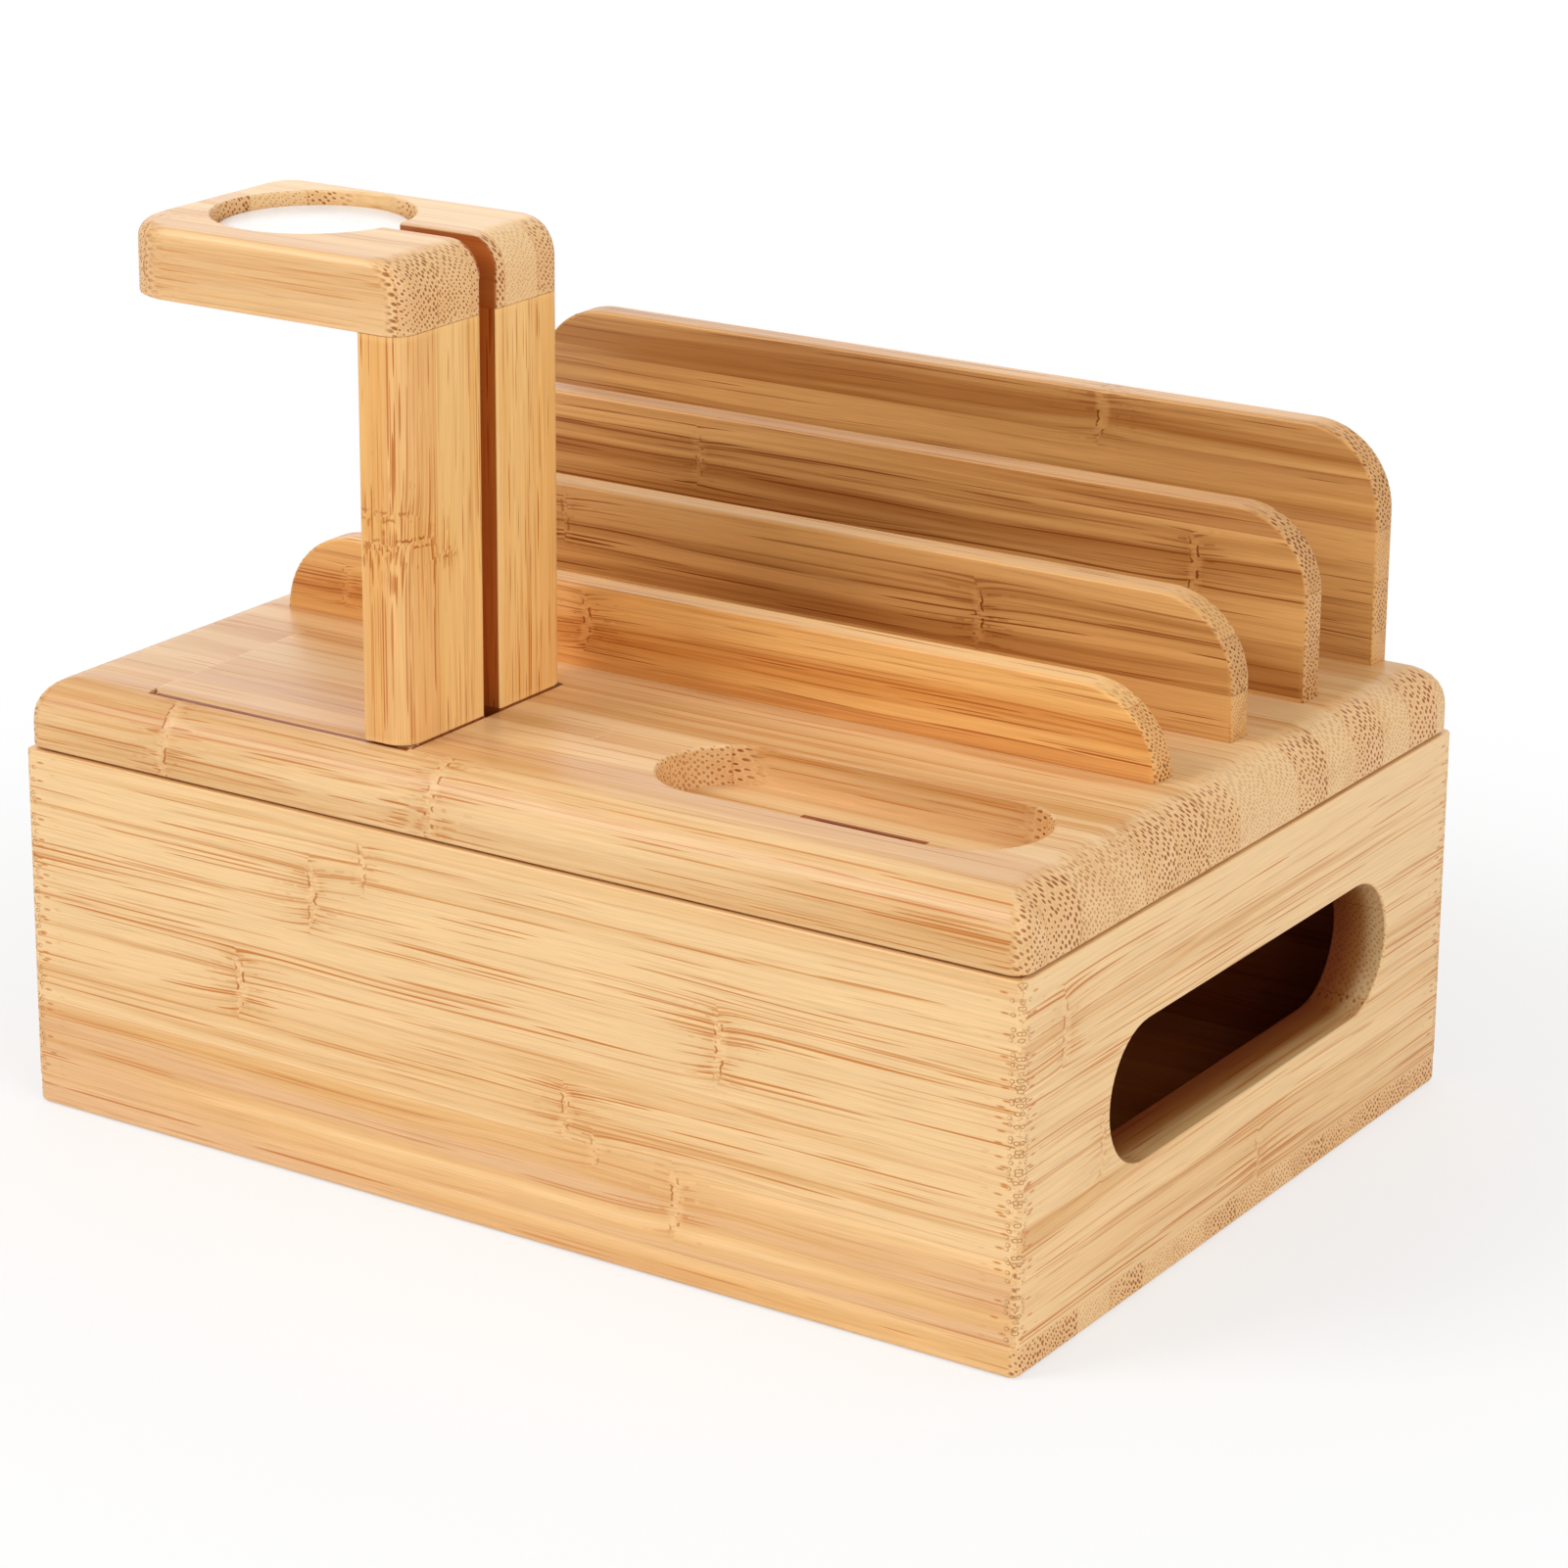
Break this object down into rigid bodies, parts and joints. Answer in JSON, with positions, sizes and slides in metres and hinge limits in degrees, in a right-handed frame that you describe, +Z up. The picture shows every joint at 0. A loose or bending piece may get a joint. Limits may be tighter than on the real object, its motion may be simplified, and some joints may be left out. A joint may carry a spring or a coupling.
{
  "type": "device organizer stand",
  "caption": "Bamboo charging box with a lift-off lid, a row of rising dividers, a dock pocket and a C-shaped watch stand.",
  "frame": {"origin": "middle of the underside of the base board", "axes": "+X to the right along the long front, +Y towards the back, +Z up"},
  "size_m": [0.175, 0.13, 0.14],
  "materials": {
    "bamboo_pale": "satin lacquered bamboo",
    "bamboo_warm": "satin lacquered bamboo",
    "white_plastic": "smooth white"
  },
  "bodies": {
    "box": {"base_board": "bamboo_pale", "front_wall": "bamboo_pale", "back_wall": "bamboo_pale", "left_wall": "bamboo_pale", "right_wall": "bamboo_pale"},
    "lid": {"lid_board": "bamboo_pale", "lid_batten_left": "bamboo_pale", "lid_batten_right": "bamboo_pale", "divider_1": "bamboo_warm", "divider_2": "bamboo_warm", "divider_3": "bamboo_warm", "divider_4": "bamboo_warm"},
    "watch_stand": {"stand_foot": "bamboo_pale", "stand_post": "bamboo_warm", "stand_head": "bamboo_pale"},
    "disc": {"charging_disc": "white_plastic"}
  },
  "joints": [
    {"name": "lid_lift", "type": "slide", "parent": "box", "child": "lid", "axis": [0, 0, 1], "range_m": [0, 0.08]},
    {"name": "stand_lift", "type": "slide", "parent": "lid", "child": "watch_stand", "axis": [0, 0, 1], "range_m": [0, 0.04]},
    {"name": "disc_lift", "type": "slide", "parent": "watch_stand", "child": "disc", "axis": [0, 0, 1], "range_m": [0, 0.02]}
  ]
}
